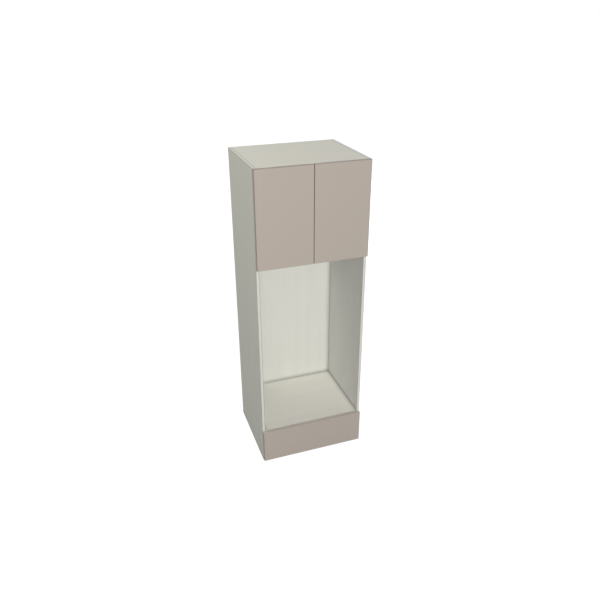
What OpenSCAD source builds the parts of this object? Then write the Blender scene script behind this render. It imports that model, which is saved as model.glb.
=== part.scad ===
// Tall housing unit for built-in ovens: laminated carcass, two doors on concealed hinges above
// an open oven space, and a drawer on ball-bearing runners below it.
// Origin: middle of the footprint, on the floor. +Z is up, the fronts face -Y.

/* [Cabinet] */
// Overall width
cabinet_w = 600; // [560:1:700]
// Overall height
cabinet_h = 1720; // [1650:1:1900]
// Depth of the carcass, without the fronts
carcass_d = 485; // [480:1:600]
// Thickness of the sides
side_t = 16; // [16:0.5:22]
// Thickness of the top, bottom and fixed shelves
shelf_t = 16; // [16:0.5:22]
// Thickness of the edge band on the front edges
edge_band_t = 1; // [0.4:0.1:2]

/* [Oven space] */
// Clear height of the oven space
oven_space_h = 1000; // [900:1:1040]
// Clear height of the drawer bay under the oven shelf
drawer_bay_h = 178; // [168:1:190]

/* [Back] */
// Thickness of the back panel
back_t = 8; // [5:0.5:10]
// Room for pipes and cables behind the back panel
back_void = 16; // [16:1:24]
// Depth of the grooves that hold the back panel
back_groove = 8; // [5:0.5:9]
// Height of the two fixing rails behind the back panel
rail_h = 80; // [60:1:120]
// Distance between the two wall screws
wall_screw_pitch = 400; // [300:1:460]
// Radius of the holes for the wall screws
wall_screw_r = 3; // [2:0.1:4]

/* [Fronts] */
// Thickness of the doors and of the low front
front_t = 18; // [16:0.5:22]
// Gap between the fronts and the carcass, filled by the buffers
front_gap = 1.5; // [1.5:0.1:2]
// Reveal along the outer edges of the fronts
reveal = 1; // [1:0.1:3]
// Gap between the two doors
door_gap = 4; // [3:0.1:6]
// Height of the low front's bottom edge above the floor
low_front_lift = 6; // [3:0.5:12]
// Radius on the edges of the front faces
front_edge_r = 1; // [0.5:0.1:2]

/* [Hinges] */
// Distance from a door's end to the middle of its hinge
hinge_inset = 100; // [80:1:120]
// Depth of the hinge cup
cup_depth = 12; // [12:0.1:12.6]
// Radius of the hinge pins
hinge_pin_r = 1.1; // [0.9:0.05:1.2]
// Distance from the carcass's front edge to the mounting plate's screws
plate_setback = 37; // [37:0.5:40]
// Distance between the two screws of a mounting plate
plate_screw_pitch = 32; // [30:1:36]

/* [Drawer] */
// Height of the drawer's sides
drawer_side_h = 120; // [100:1:125]
// Thickness of the drawer's sides, inner front and back
drawer_board_t = 12; // [12:0.5:15]
// Thickness of the drawer's bottom
drawer_bottom_t = 6; // [4:0.5:8]
// Length of the runners
runner_l = 450; // [430:1:455]
// Height of the runners
runner_h = 45; // [44:0.5:46]
// Thickness of a closed runner, from the cabinet's side to the drawer's side
runner_t = 12.7; // [12.7:0.1:13.5]
// Thickness of the runners' steel
runner_steel_t = 1.2; // [1:0.1:1.3]
// Radius of the runners' balls
ball_r = 1.6; // [1.5:0.05:1.7]
// Number of balls in each row
balls_per_row = 5; // [3:1:8]

/* [Shelf and fittings] */
// Rows of holes that the adjustable shelf stands above the middle row
shelf_row = 0; // [-1:1:1]
// Setback of the adjustable shelf's front edge
shelf_setback = 20; // [15:1:60]
// Radius of the connecting cams
cam_r = 7.4; // [7:0.1:8]
// Distance from a panel's end to the middle of its cams
cam_distance = 34; // [24:1:40]
// Radius of the wooden dowels
dowel_r = 3.95; // [3:0.05:4]
// Stroke of the push latches
latch_stroke = 14; // [8:1:20]
// Radius of the push latches' plungers
plunger_r = 4; // [3:0.1:5]

/* [Feet sockets] */
// Distance between the sockets across the cabinet
socket_pitch_x = 400; // [300:1:440]
// Distance between the sockets from front to back
socket_pitch_y = 325; // [250:1:330]
// Radius of the sockets
socket_r = 5; // [4:0.1:6]

/* [Hidden] */
$fn = 48;

// Depth positions, front to back
total_d = front_t + front_gap + carcass_d;
front_face_y = -total_d / 2;
front_back_y = front_face_y + front_t;
carcass_front_y = front_back_y + front_gap;
board_front_y = carcass_front_y + edge_band_t;
carcass_back_y = carcass_front_y + carcass_d;
back_panel_y = carcass_back_y - back_void - back_t;
rail_y = carcass_back_y - back_void;

// Width positions
inner_w = cabinet_w - 2 * side_t;
side_inner_x = inner_w / 2;
front_outer_x = cabinet_w / 2 - reveal;

// Height positions
bay_floor_z = shelf_t;
oven_shelf_z = bay_floor_z + drawer_bay_h;
oven_floor_z = oven_shelf_z + shelf_t;
cupboard_floor_z = oven_floor_z + oven_space_h;
cupboard_z = cupboard_floor_z + shelf_t;
top_panel_z = cabinet_h - shelf_t;
door_bottom_z = cupboard_floor_z + reveal;
door_top_z = cabinet_h - reveal;
low_front_top_z = oven_floor_z - reveal;
hinge_heights = [door_bottom_z + hinge_inset, door_top_z - hinge_inset];

// Clearances
groove_clearance = 0.2;
fixed_clearance = 0.05;
running_clearance = 0.05;
seat_gap = 0.1;
cut = 1;

// ---------------------------------------------------------------- small shapes

// A box from one corner to the opposite one
module box(low, high) {
  translate(low) cube(high - low);
}

// A rod along X, Y or Z from a point
module rod_x(start, r, length) {
  translate(start) rotate([0, 90, 0]) cylinder(r = r, h = length);
}
module rod_y(start, r, length) {
  translate(start) rotate([-90, 0, 0]) cylinder(r = r, h = length);
}
module rod_z(start, r, length) {
  translate(start) cylinder(r = r, h = length);
}

// The same piece on both sides of the cabinet
module both_sides() {
  children();
  mirror([1, 0, 0]) children();
}

// A bar of constant width along a path of straight stretches, with round joints
module path_bar(points, width) {
  for (i = [0 : len(points) - 2]) {
    run = points[i + 1] - points[i];
    translate(points[i]) rotate(atan2(run.y, run.x)) translate([0, -width / 2])
      square([norm(run), width]);
  }
  for (p = points) translate(p) circle(d = width);
}

// ---------------------------------------------------------------- joints of the carcass

bolt_r = 2.5;
bolt_side_depth = 11;
bolt_shank_r = 3.2;
bolt_hole_r = 3.5;
bolt_head_r = 2.2;
cam_depth = 12.8;
dowel_panel_depth = 24;
dowel_side_depth = 11;
fixing_setback = 37;
system_pitch = 32;
bolt_ys = [carcass_front_y + fixing_setback, back_panel_y - fixing_setback];
dowel_ys = [bolt_ys[0] + system_pitch, bolt_ys[1] - system_pitch];

// Heights of the middle planes of the four joined panels, and which face their cams open to
panel_joints = [
  [shelf_t / 2, -1],
  [oven_shelf_z + shelf_t / 2, -1],
  [cupboard_floor_z + shelf_t / 2, 1],
  [top_panel_z + shelf_t / 2, -1]
];
rail_zs = [cupboard_floor_z - rail_h, top_panel_z - rail_h];
rail_dowel_inset = 20;

// One connecting bolt on the left: its thread in the side, its neck and head in the cam
module connecting_bolt(z) {
  for (y = bolt_ys) {
    rod_x([-side_inner_x - bolt_side_depth + cut, y, z], bolt_r, bolt_side_depth - cut);
    rod_x([-side_inner_x, y, z], bolt_shank_r, cam_distance - cam_r - seat_gap);
    rod_x([-side_inner_x + cam_distance - cam_r - cut, y, z], bolt_head_r / 2, cam_r - cut);
    translate([-side_inner_x + cam_distance - bolt_head_r, y, z]) sphere(r = bolt_head_r);
  }
}

// One cam on the left: a disc with a pocket for the bolt's head and a screwdriver slot
module cam(y, z, face) {
  cam_top = face * shelf_t / 2;
  translate([-side_inner_x + cam_distance, y, z]) difference() {
    translate([0, 0, face > 0 ? cam_top - cam_depth : cam_top]) cylinder(r = cam_r, h = cam_depth);
    rod_x([-cam_r - cut, 0, 0], bolt_head_r + seat_gap, cam_r + cut);
    sphere(r = bolt_head_r + seat_gap);
    translate([0, 0, cam_top]) cube([cam_r * 1.3, 1.4, 3], center = true);
    translate([0, 0, cam_top]) cube([1.4, cam_r * 1.3, 3], center = true);
  }
}

// The bores for bolts and dowels in the end of a panel, for both ends
module panel_end_bores(z, face) {
  both_sides() {
    for (y = bolt_ys) {
      rod_x([-side_inner_x - cut, y, z], bolt_hole_r, cam_distance + cut);
      cam_floor = face > 0 ? z + shelf_t / 2 - cam_depth : z - shelf_t / 2 - cut;
      rod_z([-side_inner_x + cam_distance, y, cam_floor], cam_r + fixed_clearance,
        cam_depth + cut);
    }
    for (y = dowel_ys)
      rod_x([-side_inner_x - cut, y, z], dowel_r + fixed_clearance, dowel_panel_depth + cut);
  }
}

// A wooden dowel on the left, half in the side and half in the panel's end
module dowel(y, z) {
  rod_x([-side_inner_x - dowel_side_depth, y, z], dowel_r,
    dowel_side_depth + dowel_panel_depth - cut);
}

module cams() {
  color("silver") both_sides()
    for (joint = panel_joints, y = bolt_ys) cam(y, joint[0], joint[1]);
}

module connecting_bolts() {
  color("silver") both_sides() for (joint = panel_joints) connecting_bolt(joint[0]);
}

module wood_dowels() {
  color("burlywood") both_sides() {
    for (joint = panel_joints, y = dowel_ys) dowel(y, joint[0]);
    for (z = rail_zs, end = [rail_dowel_inset, rail_h - rail_dowel_inset])
      dowel(rail_y + back_void / 2, z + end);
  }
}

// ---------------------------------------------------------------- carcass panels

laminate = "#d0d0c6";
plate_screw_zs = [for (z = hinge_heights, s = [-1, 1]) z + s * plate_screw_pitch / 2];
plate_y = carcass_front_y + plate_setback;
plate_screw_r = 2.45;
plate_screw_depth = 12;

pin_r = 2.45;
pin_depth = 9;
pin_rest = 8;
pin_ys = [carcass_front_y + fixing_setback + system_pitch,
  back_panel_y - fixing_setback - system_pitch];
middle_shelf_z = (cupboard_z + top_panel_z - shelf_t) / 2;
shelf_z = middle_shelf_z + shelf_row * system_pitch;
pin_z = shelf_z - pin_r;
pin_hole_rows = [-2 : 2];

runner_screw_r = 1.7;
runner_screw_depth = 12;
runner_y = carcass_front_y + 3;
runner_screw_ys = [for (share = [0.08, 0.43, 0.86]) runner_y + share * runner_l];
drawer_lift = 16;
drawer_z = bay_floor_z + drawer_lift;
runner_z = drawer_z + drawer_side_h * 0.4;

// Every hole in the left side's inner face, and the groove for the back panel
module side_cuts() {
  depth_x = -side_inner_x;
  for (joint = panel_joints) {
    for (y = bolt_ys)
      rod_x([depth_x - bolt_side_depth, y, joint[0]], bolt_r + fixed_clearance,
        bolt_side_depth + cut);
    for (y = dowel_ys)
      rod_x([depth_x - dowel_side_depth - seat_gap, y, joint[0]], dowel_r + fixed_clearance,
        dowel_side_depth + seat_gap + cut);
  }
  for (z = rail_zs, end = [rail_dowel_inset, rail_h - rail_dowel_inset])
    rod_x([depth_x - dowel_side_depth - seat_gap, rail_y + back_void / 2, z + end],
      dowel_r + fixed_clearance, dowel_side_depth + seat_gap + cut);
  for (z = plate_screw_zs)
    rod_x([depth_x - plate_screw_depth, plate_y, z], plate_screw_r + fixed_clearance,
      plate_screw_depth + cut);
  for (y = pin_ys, row = pin_hole_rows)
    rod_x([depth_x - pin_depth - seat_gap, y, middle_shelf_z - pin_r + row * system_pitch],
      pin_r + fixed_clearance, pin_depth + seat_gap + cut);
  for (y = runner_screw_ys)
    rod_x([depth_x - runner_screw_depth, y, runner_z], runner_screw_r + fixed_clearance,
      runner_screw_depth + cut);
  box([depth_x - back_groove, back_panel_y - groove_clearance / 2, shelf_t - back_groove],
    [depth_x + cut, back_panel_y + back_t + groove_clearance / 2, top_panel_z + back_groove]);
}

module side_panel() {
  difference() {
    box([-cabinet_w / 2, board_front_y, 0], [-side_inner_x, carcass_back_y, cabinet_h]);
    side_cuts();
  }
}

module left_side() {
  color(laminate) side_panel();
}

module right_side() {
  color(laminate) mirror([1, 0, 0]) side_panel();
}

// A panel between the sides, from its bottom face up, as deep as back_y allows
module between_sides(bottom_z, back_y) {
  box([-side_inner_x, board_front_y, bottom_z], [side_inner_x, back_y, bottom_z + shelf_t]);
}

// The groove in the top or bottom panel that holds the back panel's edge
module back_groove_at(z_low, z_high) {
  box([-side_inner_x - cut, back_panel_y - groove_clearance / 2, z_low],
    [side_inner_x + cut, back_panel_y + back_t + groove_clearance / 2, z_high]);
}

module top_panel() {
  color(laminate) difference() {
    between_sides(top_panel_z, carcass_back_y);
    panel_end_bores(panel_joints[3][0], panel_joints[3][1]);
    back_groove_at(top_panel_z - cut, top_panel_z + back_groove);
    for (x = door_latch_xs) latch_screw_holes(x, top_panel_z);
  }
}

module cupboard_floor() {
  color(laminate) difference() {
    between_sides(cupboard_floor_z, back_panel_y - seat_gap);
    panel_end_bores(panel_joints[2][0], panel_joints[2][1]);
  }
}

module oven_shelf() {
  color(laminate) difference() {
    between_sides(oven_shelf_z, back_panel_y - seat_gap);
    panel_end_bores(panel_joints[1][0], panel_joints[1][1]);
    latch_screw_holes(0, oven_shelf_z);
  }
}

socket_depth = 12;

module bottom_panel() {
  color(laminate) difference() {
    between_sides(0, carcass_back_y);
    panel_end_bores(panel_joints[0][0], panel_joints[0][1]);
    back_groove_at(shelf_t - back_groove, shelf_t + cut);
    for (x = [-1, 1] * socket_pitch_x / 2, y = [-1, 1] * socket_pitch_y / 2)
      rod_z([x, y, -cut], socket_r, socket_depth + cut);
  }
}

module wall_screw_holes(y, length) {
  for (x = [-1, 1] * wall_screw_pitch / 2)
    rod_y([x, y - cut, top_panel_z - rail_h / 2], wall_screw_r, length + 2 * cut);
}

// The back panel reaches into grooves on all four sides
module back_panel() {
  reach = back_groove - groove_clearance;
  color(laminate) difference() {
    box([-side_inner_x - reach, back_panel_y, shelf_t - reach],
      [side_inner_x + reach, back_panel_y + back_t, top_panel_z + reach]);
    wall_screw_holes(back_panel_y, back_t);
  }
}

module fixing_rail(z) {
  difference() {
    box([-side_inner_x, rail_y, z], [side_inner_x, carcass_back_y, z + rail_h]);
    both_sides() for (end = [rail_dowel_inset, rail_h - rail_dowel_inset])
      rod_x([-side_inner_x - cut, rail_y + back_void / 2, z + end],
        dowel_r + fixed_clearance, dowel_panel_depth + cut);
  }
}

module upper_fixing_rail() {
  color("tan") difference() {
    fixing_rail(rail_zs[1]);
    wall_screw_holes(rail_y, back_void);
  }
}

module lower_fixing_rail() {
  color("tan") fixing_rail(rail_zs[0]);
}

// Strips glued to the front edges of the sides and of the four panels between them
module carcass_edge_bands() {
  color("#c8c8be") {
    both_sides() box([-cabinet_w / 2, carcass_front_y, 0],
      [-side_inner_x, board_front_y, cabinet_h]);
    for (z = [0, oven_shelf_z, cupboard_floor_z, top_panel_z])
      box([-side_inner_x, carcass_front_y, z], [side_inner_x, board_front_y, z + shelf_t]);
  }
}

// ---------------------------------------------------------------- adjustable shelf

shelf_side_clearance = 1;
shelf_back_clearance = 2;

module adjustable_shelf() {
  color(laminate) box(
    [-side_inner_x + shelf_side_clearance, carcass_front_y + shelf_setback, shelf_z],
    [side_inner_x - shelf_side_clearance, back_panel_y - shelf_back_clearance, shelf_z + shelf_t]);
}

// Steel pins with a collar against the side
module shelf_pins() {
  collar_r = 3.6;
  collar_t = 0.8;
  color("silver") both_sides() for (y = pin_ys) {
    rod_x([-side_inner_x - pin_depth, y, pin_z], pin_r, pin_depth + pin_rest);
    intersection() {
      rod_x([-side_inner_x, y, pin_z], collar_r, collar_t);
      box([-side_inner_x, y - collar_r, pin_z - collar_r],
        [-side_inner_x + collar_t, y + collar_r, pin_z + pin_r]);
    }
  }
}

// ---------------------------------------------------------------- concealed hinges
// Each hinge is drawn for the left door in its own plan: u runs inwards from the door's
// outer edge, v runs from the door's back face into the cabinet, and z is up from the hinge's
// middle. Two linkages join the fixed arm to the cup: a pair of bent plates between the pins
// at arm_front and cup_inner, and one bar between the pins at arm_rear and cup_outer.

arm_front = [30.4, 3.6];
cup_inner = [14.3, -4];
arm_rear = [32.7, 24.5];
cup_outer = [10.6, -2];
// Centre and radius of the bar's open eye, which leaves the rear pin room to wander
open_eye = [33, 24.7];
open_eye_r = hinge_pin_r + 1.15;
eye_wall = 0.85;
eye_r = hinge_pin_r + eye_wall;

// Half widths across the hinge, from the middle outwards
bar_half = 2.4;
plate_inner = 2.7;
plate_outer = 4.5;
cheek_inner = 4.8;
cheek_outer = 6.4;
pocket_half = 5;
pin_half = 7.5;

// The cup of a standard 35 mm hinge, bored 5 mm from the door's edge
cup_r = 17.45;
cup_u = 5 + cup_r + fixed_clearance;
cup_floor_t = 1;
side_face_u = side_t - reveal;
plate_v = front_gap + plate_setback;

// Puts a left hinge's plan in the cabinet's frame, once for each hinge of a door
module at_hinges() {
  for (z = hinge_heights) translate([-front_outer_x, front_back_y, z]) children();
}

// A flat part between two heights, from a plan drawn in u and v
module layer(low, high) {
  translate([0, 0, low]) linear_extrude(high - low) children();
}

// The same layer above and below the hinge's middle
module layers(inner, outer) {
  layer(inner, outer) children();
  layer(-outer, -inner) children();
}

// --- mounting plate, screwed to the side
plate_base_t = 2;
plate_wing_half = 22;
boss_top_u = 24;
boss_vs = [30, 58];
boss_half = cheek_inner - 0.3;
arm_screw_v = 50;
arm_screw_r = 2;

module hinge_plate() {
  strip_half = 8;
  wing_half_v = 7;
  difference() {
    union() {
      box([side_face_u, boss_vs[0] - 6, -strip_half],
        [side_face_u + plate_base_t, boss_vs[1] + 2, strip_half]);
      box([side_face_u, plate_v - wing_half_v, -plate_wing_half],
        [side_face_u + plate_base_t, plate_v + wing_half_v, plate_wing_half]);
      box([side_face_u, boss_vs[0], -boss_half], [boss_top_u, boss_vs[1], boss_half]);
    }
    for (s = [-1, 1]) rod_x([side_face_u - cut, plate_v, s * plate_screw_pitch / 2],
      plate_screw_r + fixed_clearance, plate_base_t + 2 * cut);
    rod_x([side_face_u + plate_base_t, arm_screw_v, 0], arm_screw_r + fixed_clearance,
      boss_top_u);
  }
}

// --- arm: a steel channel over the plate's boss, whose cheeks carry the two fixed pins
arm_top_u = 32.6;
arm_end_v = 62;
arm_sheet_t = 1.6;
web_front_v = 31;
adjusting_screw_v = web_front_v + 6;

module arm_cheek_plan() {
  foot_u = side_face_u + plate_base_t + 0.3;
  rear_eye_r = 3.4;
  difference() {
    union() {
      polygon([
        [foot_u, arm_end_v], [arm_top_u, arm_end_v], [arm_top_u, web_front_v],
        [arm_rear.x + rear_eye_r, arm_rear.y], [arm_front.x + eye_r, arm_front.y],
        [arm_front.x - eye_r, arm_front.y], [foot_u, arm_rear.y]
      ]);
      translate(arm_front) circle(r = eye_r);
      translate(arm_rear) circle(r = rear_eye_r);
    }
    for (p = [arm_front, arm_rear]) translate(p) circle(r = hinge_pin_r + 0.02);
  }
}

module hinge_arm() {
  difference() {
    union() {
      layers(cheek_inner, cheek_outer) arm_cheek_plan();
      box([arm_top_u - arm_sheet_t, web_front_v, -cheek_outer],
        [arm_top_u, arm_end_v, cheek_outer]);
    }
    for (v = [adjusting_screw_v, arm_screw_v])
      rod_x([arm_top_u - arm_sheet_t - cut, v, 0], arm_screw_r + fixed_clearance,
        arm_sheet_t + 2 * cut);
  }
}

// The front pin is two stubs, so that the bar can pass between them
module arm_pins() {
  layers(plate_inner, cheek_outer) translate(arm_front) circle(r = hinge_pin_r);
  layer(-cheek_outer, cheek_outer) translate(arm_rear) circle(r = hinge_pin_r);
}

// Two screws hold the plate, one clamps the arm to it, and one sets the door sideways
module hinge_screw_set() {
  head_r = 3.6;
  head_t = 1.4;
  adjusting_head_r = 2.8;
  for (s = [-1, 1]) {
    rod_x([side_face_u - plate_screw_depth + cut, plate_v, s * plate_screw_pitch / 2],
      plate_screw_r, plate_screw_depth - cut + plate_base_t);
    rod_x([side_face_u + plate_base_t, plate_v, s * plate_screw_pitch / 2], head_r, head_t);
  }
  rod_x([side_face_u + plate_base_t + cut, arm_screw_v, 0], arm_screw_r,
    arm_top_u - side_face_u - plate_base_t - cut);
  rod_x([arm_top_u, arm_screw_v, 0], head_r, head_t);
  rod_x([boss_top_u, adjusting_screw_v, 0], arm_screw_r, arm_top_u - boss_top_u);
  rod_x([arm_top_u, adjusting_screw_v, 0], adjusting_head_r, head_t);
}

// --- links
link_w = 2.6;
link_floor_v = -9.35;
link_rise_u = 31.3;
bar_w = 3;

module link_plate_plan() {
  difference() {
    union() {
      path_bar([cup_inner, [cup_inner.x, link_floor_v], [link_rise_u, link_floor_v],
        [link_rise_u, arm_front.y - cut], arm_front], link_w);
      for (p = [cup_inner, arm_front]) translate(p) circle(r = eye_r);
    }
    for (p = [cup_inner, arm_front]) translate(p) circle(r = hinge_pin_r + running_clearance);
  }
}

module link_bar_plan() {
  difference() {
    union() {
      path_bar([cup_outer, [14.6, -5], [19.5, -2], [23.5, 4.5], [25.5, 12], open_eye], bar_w);
      translate(cup_outer) circle(r = eye_r + 0.2);
      translate(open_eye) circle(r = open_eye_r + 1.6);
    }
    translate(cup_outer) circle(r = hinge_pin_r + running_clearance);
    translate(open_eye) circle(r = open_eye_r);
  }
}

module link_plates() {
  layers(plate_inner, plate_outer) link_plate_plan();
}

module link_bar() {
  layer(-bar_half, bar_half) link_bar_plan();
}

// --- cup, pressed into the door, with its flange on the door's back face
flange_t = 1;
flange_front_u = 9.5;
flange_r = 19.5;
cup_screw_half = 24;
cup_screw_u = cup_u + 6;
cup_screw_r = 1.9;
cup_screw_depth = 11;
ear_r = 6;
cup_wall = 1.6;

module cup_pocket() {
  intersection() {
    translate([cup_u, -cup_depth + cup_floor_t, 0]) rotate([-90, 0, 0])
      cylinder(r = cup_r - cup_wall / 2, h = cup_depth + 2 * cut);
    box([cup_u - cup_r + cup_wall, -cup_depth + cup_floor_t, -pocket_half],
      [cup_u + cup_r - cup_wall, 2 * cut, pocket_half]);
  }
}

module hinge_cup() {
  difference() {
    union() {
      rod_y([cup_u, -cup_depth, 0], cup_r, cup_depth);
      intersection() {
        union() {
          rod_y([cup_u, 0, 0], flange_r, flange_t);
          box([cup_screw_u - ear_r, 0, -cup_screw_half], [cup_screw_u + ear_r, flange_t,
            cup_screw_half]);
          for (s = [-1, 1]) rod_y([cup_screw_u, 0, s * cup_screw_half], ear_r, flange_t);
        }
        box([flange_front_u, 0, -cup_screw_half - ear_r],
          [cup_u + flange_r, flange_t, cup_screw_half + ear_r]);
      }
    }
    cup_pocket();
    for (p = [cup_inner, cup_outer])
      translate([p.x, p.y, -pin_half]) cylinder(r = hinge_pin_r + 0.02, h = 2 * pin_half);
    for (s = [-1, 1]) rod_y([cup_screw_u, -cut, s * cup_screw_half],
      cup_screw_r + fixed_clearance, flange_t + 2 * cut);
  }
}

module cup_pins() {
  layers(plate_inner, pin_half) translate(cup_inner) circle(r = hinge_pin_r);
  layer(-pin_half, pin_half) translate(cup_outer) circle(r = hinge_pin_r);
}

module cup_screws() {
  head_r = 3.4;
  head_t = 0.4;
  for (s = [-1, 1]) {
    rod_y([cup_screw_u, -cup_screw_depth + cut, s * cup_screw_half], cup_screw_r,
      cup_screw_depth - cut + flange_t);
    rod_y([cup_screw_u, flange_t, s * cup_screw_half], head_r, head_t);
  }
}

// The holes that a hinge needs in the door
module door_hinge_bores() {
  rod_y([cup_u, -cup_depth - seat_gap, 0], cup_r + fixed_clearance, cup_depth + seat_gap + cut);
  for (s = [-1, 1]) rod_y([cup_screw_u, -cup_screw_depth, s * cup_screw_half],
    cup_screw_r + fixed_clearance, cup_screw_depth + cut);
}

module left_hinge_plates() {
  color("silver") at_hinges() hinge_plate();
}

module right_hinge_plates() {
  color("silver") mirror([1, 0, 0]) at_hinges() hinge_plate();
}

module left_hinge_arms() {
  color("silver") at_hinges() hinge_arm();
}

module right_hinge_arms() {
  color("silver") mirror([1, 0, 0]) at_hinges() hinge_arm();
}

module left_arm_pins() {
  color("gray") at_hinges() arm_pins();
}

module right_arm_pins() {
  color("gray") mirror([1, 0, 0]) at_hinges() arm_pins();
}

module hinge_screws() {
  color("gray") both_sides() at_hinges() hinge_screw_set();
}

module left_link_plates() {
  color("lightgray") at_hinges() link_plates();
}

module right_link_plates() {
  color("lightgray") mirror([1, 0, 0]) at_hinges() link_plates();
}

module left_link_bars() {
  color("lightgray") at_hinges() link_bar();
}

module right_link_bars() {
  color("lightgray") mirror([1, 0, 0]) at_hinges() link_bar();
}

module left_hinge_cups() {
  color("silver") at_hinges() hinge_cup();
}

module right_hinge_cups() {
  color("silver") mirror([1, 0, 0]) at_hinges() hinge_cup();
}

module left_cup_pins() {
  color("gray") at_hinges() cup_pins();
}

module right_cup_pins() {
  color("gray") mirror([1, 0, 0]) at_hinges() cup_pins();
}

module left_cup_screws() {
  color("gray") at_hinges() cup_screws();
}

module right_cup_screws() {
  color("gray") mirror([1, 0, 0]) at_hinges() cup_screws();
}

// ---------------------------------------------------------------- fronts

front_colour = "#b5aba1";

// The outline of a front seen from one end, with rounded edges on its front face
module slab_profile(width) {
  square([width, front_t - front_edge_r]);
  translate([front_edge_r, 0]) square([width - 2 * front_edge_r, front_t]);
  for (x = [front_edge_r, width - front_edge_r])
    translate([x, front_t - front_edge_r]) circle(r = front_edge_r);
}

// A front slab between two corners of its face
module front_slab(low_x, low_z, high_x, high_z) {
  width = high_x - low_x;
  height = high_z - low_z;
  translate([low_x, front_back_y, low_z]) intersection() {
    mirror([0, 1, 0]) linear_extrude(height) slab_profile(width);
    rotate([90, 0, 90]) linear_extrude(width) rotate(90) slab_profile(height);
  }
}

module door_slab() {
  difference() {
    front_slab(-front_outer_x, door_bottom_z, -door_gap / 2, door_top_z);
    at_hinges() door_hinge_bores();
  }
}

module left_door() {
  color(front_colour) door_slab();
}

module right_door() {
  color(front_colour) mirror([1, 0, 0]) door_slab();
}

low_front_screw_r = 2;
low_front_screw_depth = 12;
low_front_screw_inset = 57;
low_front_screw_lift = 30;
low_front_screw_zs = [drawer_z + low_front_screw_lift,
  drawer_z + drawer_side_h - low_front_screw_lift];

module low_front() {
  color(front_colour) difference() {
    front_slab(-front_outer_x, low_front_lift, front_outer_x, low_front_top_z);
    for (x = low_front_screw_xs, z = low_front_screw_zs)
      rod_y([x, front_back_y - low_front_screw_depth, z],
        low_front_screw_r + fixed_clearance, low_front_screw_depth + cut);
  }
}

// Soft domes on the carcass's front edges that the fronts close against
buffer_r = 4;
buffer_inset = 22;

module front_buffers() {
  buffer_t = front_gap - seat_gap;
  color("whitesmoke") both_sides() {
    for (z = [cupboard_floor_z + shelf_t / 2, top_panel_z + shelf_t / 2])
      rod_y([-buffer_inset, carcass_front_y - buffer_t, z], buffer_r, buffer_t);
    for (z = [low_front_lift + buffer_inset, low_front_top_z - buffer_inset])
      rod_y([-cabinet_w / 2 + side_t / 2, carcass_front_y - buffer_t, z], buffer_r, buffer_t);
  }
}

// ---------------------------------------------------------------- push latches

latch_w = 20;
latch_h = 14;
latch_l = 74;
latch_front_y = carcass_front_y + 3;
latch_screw_r = 1.6;
latch_screw_depth = 10;
latch_flange_w = 36;
latch_flange_t = 3;
latch_flange_l = 16;
latch_flange_y = latch_front_y + 20;
// Behind the plunger the bore is one stroke longer, for its spring
plunger_l = latch_l - 2 - latch_stroke;
tip_r = 5;
tip_t = 3;
door_latch_xs = [-45, 45];
latch_xs_half = latch_w / 2 + (latch_flange_w - latch_w) / 4;

module latch_screw_holes(x, ceiling_z) {
  for (s = [-1, 1]) rod_z([x + s * latch_xs_half, latch_flange_y + latch_flange_l / 2,
    ceiling_z - cut], latch_screw_r + fixed_clearance, latch_screw_depth + cut);
}

// A moulded housing under a panel, open in front for its plunger, with a screwed flange
module latch_housing(x, ceiling_z) {
  low_z = ceiling_z - latch_h;
  plunger_z = ceiling_z - latch_h / 2;
  difference() {
    union() {
      translate([x - latch_w / 2, latch_front_y, low_z]) cube([latch_w, latch_l, latch_h]);
      translate([x - latch_flange_w / 2, latch_flange_y, ceiling_z - latch_flange_t])
        cube([latch_flange_w, latch_flange_l, latch_flange_t]);
    }
    rod_y([x, latch_front_y - cut, plunger_z], plunger_r + running_clearance * 2,
      latch_l - 3 + cut);
    for (s = [-1, 1]) rod_z([x + s * latch_xs_half, latch_flange_y + latch_flange_l / 2,
      ceiling_z - latch_flange_t - cut], latch_screw_r + fixed_clearance,
      latch_flange_t + 2 * cut);
  }
}

module latch_housings() {
  color("gainsboro") {
    for (x = door_latch_xs) latch_housing(x, top_panel_z);
    latch_housing(0, oven_shelf_z);
  }
}

module latch_screw_pair(x, ceiling_z) {
  head_r = 2.8;
  head_t = 1.2;
  for (s = [-1, 1]) {
    place = [x + s * latch_xs_half, latch_flange_y + latch_flange_l / 2, ceiling_z];
    rod_z(place - [0, 0, latch_flange_t], latch_screw_r, latch_flange_t + latch_screw_depth - cut);
    rod_z(place - [0, 0, latch_flange_t + head_t], head_r, head_t);
  }
}

module latch_screws() {
  color("gray") {
    for (x = door_latch_xs) latch_screw_pair(x, top_panel_z);
    latch_screw_pair(0, oven_shelf_z);
  }
}

// The plunger's rod slides in the housing, and its soft tip waits behind the front
module latch_plunger(x, ceiling_z) {
  plunger_z = ceiling_z - latch_h / 2;
  tip_y = front_back_y + 3 * seat_gap;
  color("dimgray") union() {
    rod_y([x, tip_y, plunger_z], tip_r, tip_t);
    rod_y([x, tip_y + tip_t, plunger_z], plunger_r, plunger_l);
  }
}

module left_latch_plunger() {
  latch_plunger(door_latch_xs[0], top_panel_z);
}

module right_latch_plunger() {
  latch_plunger(door_latch_xs[1], top_panel_z);
}

module drawer_latch_plunger() {
  latch_plunger(0, oven_shelf_z);
}

// ---------------------------------------------------------------- drawer box

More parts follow.
